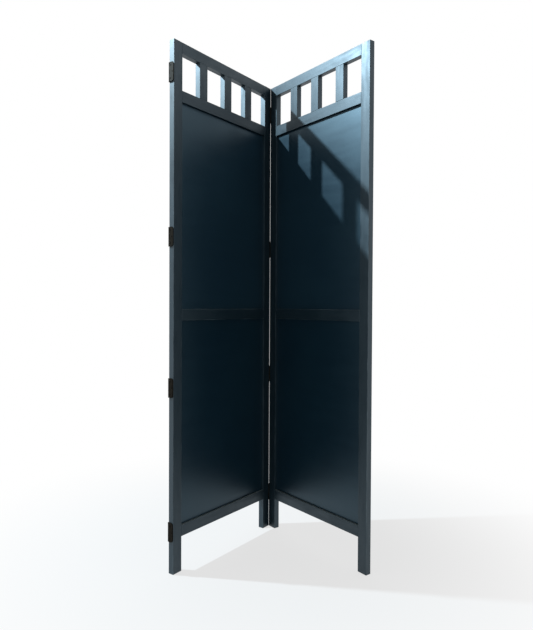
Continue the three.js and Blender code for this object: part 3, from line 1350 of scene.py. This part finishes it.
@dataclass(frozen=True)
class Viewpoint:
    """The camera at the photograph's place and angle.

    Attributes:
        place: Where the lens is.
        yaw: Its turn to the right, in radians.
        pitch: Its turn upwards, in radians.
        roll: Its turn about the line of sight, in radians.
        focal_pixels: The focal length in pixels of the photograph.
        frame_height: The photograph's height in pixels.
        sensor: The longer side of the sensor, in millimetres.
        far_clip: How far the camera sees.
    """

    place: tuple[float, float, float] = (-0.01908, -2.04616, 0.88514)
    yaw: float = 0.00339
    pitch: float = -0.01608
    roll: float = -0.00479
    focal_pixels: float = 561.19
    frame_height: float = 630.0
    sensor: float = 36.0
    far_clip: float = 200.0

    def build(self) -> None:
        """Makes the camera and gives it to the scene."""
        forward = Vector(
            (
                math.sin(self.yaw) * math.cos(self.pitch),
                math.cos(self.yaw) * math.cos(self.pitch),
                math.sin(self.pitch),
            )
        )
        level = Vector((math.cos(self.yaw), -math.sin(self.yaw), 0.0))
        down = -level.cross(forward)
        right = level * math.cos(self.roll) + down * math.sin(self.roll)
        up = level * math.sin(self.roll) - down * math.cos(self.roll)
        data = bpy.data.cameras.new("viewpoint")
        data.sensor_width = self.sensor
        data.lens = self.focal_pixels * self.sensor / self.frame_height
        data.clip_end = self.far_clip
        camera = bpy.data.objects.new("viewpoint", data)
        turned = Matrix((right, up, -forward)).transposed().to_4x4()
        turned.translation = Vector(self.place)
        camera.matrix_world = turned
        bpy.context.scene.collection.objects.link(camera)
        bpy.context.scene.camera = camera
        LOG.info("camera at %s, lens %.2f mm", self.place, data.lens)


@dataclass
class Studio:
    """A pale floor, a pale room and one soft lamp high on the left.

    Attributes:
        floor_radius: How far the floor reaches.
        floor_sides: The number of its sides.
        floor_colour: Its colour in the light that it throws back.
        near_glow: How much of its own white it shows under the screen.
        glow_reach: Where it starts to show more, and where it is plain white.
        room_light: The strength of the light from all round.
        lamp_place: Where the lamp is.
        lamp_aim: The point that it faces.
        lamp_size: Its diameter.
        lamp_watts: Its power.
        lamp_colour: The colour of its light.
    """

    floor_radius: float = 40.0
    floor_sides: int = 64
    floor_colour: Colour = (0.55, 0.55, 0.55)
    near_glow: float = 0.70
    glow_reach: Span = (0.35, 1.5)
    room_light: float = 0.50
    lamp_place: Triple = (-1.893, 0.023, 3.111)
    lamp_aim: Triple = (0.10, 0.0, 1.45)
    lamp_size: float = 0.07
    lamp_watts: float = 148.0
    lamp_colour: Colour = (0.74, 0.91, 1.0)

    def build(self) -> None:
        """Makes the floor, the room and the lamp, and sets the view."""
        self._floor()
        self._room()
        self._lamp()
        bpy.context.scene.view_settings.view_transform = "Standard"

    @staticmethod
    def _seen(graph: ShaderGraph) -> Value:
        """Tells the rays that show things from those that light them.

        Args:
            graph: The graph that asks.

        Returns:
            1 for camera, glossy and transmission rays, and 0 for the others.
        """
        path = graph.node("ShaderNodeLightPath")
        kinds = ("Is Camera Ray", "Is Glossy Ray", "Is Transmission Ray")
        first, second, third = (Value(graph, path.outputs[k]) for k in kinds)
        return first.most(second).most(third)

    def _floor(self) -> None:
        """Makes the floor, which keeps the shadow of the screen."""
        mesh = bmesh.new()
        bmesh.ops.create_circle(
            mesh,
            cap_ends=True,
            segments=self.floor_sides,
            radius=self.floor_radius,
        )
        data = bpy.data.meshes.new("studio_floor")
        mesh.to_mesh(data)
        mesh.free()
        material, graph = new_material("studio_floor")
        place = graph.node("ShaderNodeTexCoord").outputs["Object"]
        near, far = self.glow_reach
        fade = Place(graph, place).length().ramp(near, far)
        glow_share = self.near_glow + fade * (1.0 - self.near_glow)
        matt = graph.node("ShaderNodeBsdfDiffuse", {}, {"Color": self.floor_colour})
        glow = graph.node(
            "ShaderNodeEmission", {}, {"Color": WHITE, "Strength": 1.0}
        )
        both = graph.node(
            "ShaderNodeMixShader",
            {},
            {
                0: self._seen(graph) * glow_share,
                1: Link(graph, matt.outputs[0]),
                2: Link(graph, glow.outputs[0]),
            },
        )
        graph.finish(Link(graph, both.outputs[0]))
        data.materials.append(material)
        floor = bpy.data.objects.new("studio_floor", data)
        bpy.context.scene.collection.objects.link(floor)
        LOG.info("floor, %.0f m to each side", self.floor_radius)

    def _room(self) -> None:
        """Lights the scene from all round, and shows as plain white."""
        world = bpy.data.worlds.new("studio_room")
        world.use_nodes = True
        bpy.context.scene.world = world
        graph = ShaderGraph(world.node_tree)
        strength = self.room_light + self._seen(graph) * (1.0 - self.room_light)
        light = graph.node(
            "ShaderNodeBackground",
            {},
            {"Color": WHITE, "Strength": strength},
        )
        output = graph.node("ShaderNodeOutputWorld")
        graph.tree.links.new(light.outputs[0], output.inputs["Surface"])
        LOG.info("room light of %.2f", self.room_light)

    def _lamp(self) -> None:
        """Makes the round lamp."""
        data = bpy.data.lights.new("studio_lamp", "AREA")
        data.shape = "DISK"
        data.size = self.lamp_size
        data.energy = self.lamp_watts
        data.color = self.lamp_colour
        lamp = bpy.data.objects.new("studio_lamp", data)
        lamp.location = self.lamp_place
        aim = Vector(self.lamp_aim) - Vector(self.lamp_place)
        lamp.rotation_euler = aim.to_track_quat("-Z", "Y").to_euler()
        bpy.context.scene.collection.objects.link(lamp)
        LOG.info("lamp at %s", self.lamp_place)


# ------------------------------------------------------------------------ main


def joint(name: str) -> Mapping[str, object]:
    """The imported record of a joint."""
    return next(row for row in frame["joints"] if row["name"] == name)


def main() -> None:
    """Builds the viewpoint, the studio and the dressed screen, in order."""
    logging.basicConfig(level=logging.INFO, format="%(name)s: %(message)s")
    Viewpoint().build()
    Studio().build()
    fold = joint("panel_fold")
    pin = Vector(fold["pos_m"])
    # The joint is 0 as the screen stands, and its lower limit shuts the V.
    opening_deg = -fold["range_deg"][0]
    panels = {side: PanelFrame(side, pin, opening_deg) for side in Side}
    dresser = ArrisDresser()
    for number, panel in enumerate(panels.values()):
        seed = FIRST_SEED + PANEL_SEED_STEP * number
        ScreenPanel(panel, dresser, seed).dress()
    spare_pins = [
        Vector(joint(f"spare_leaf_{number}_swing")["pos_m"])
        for number in range(1, SPARE_HINGES + 1)
    ]
    HingeSet(panels, dresser, spare_pins).dress()


if __name__ == "__main__":
    main()
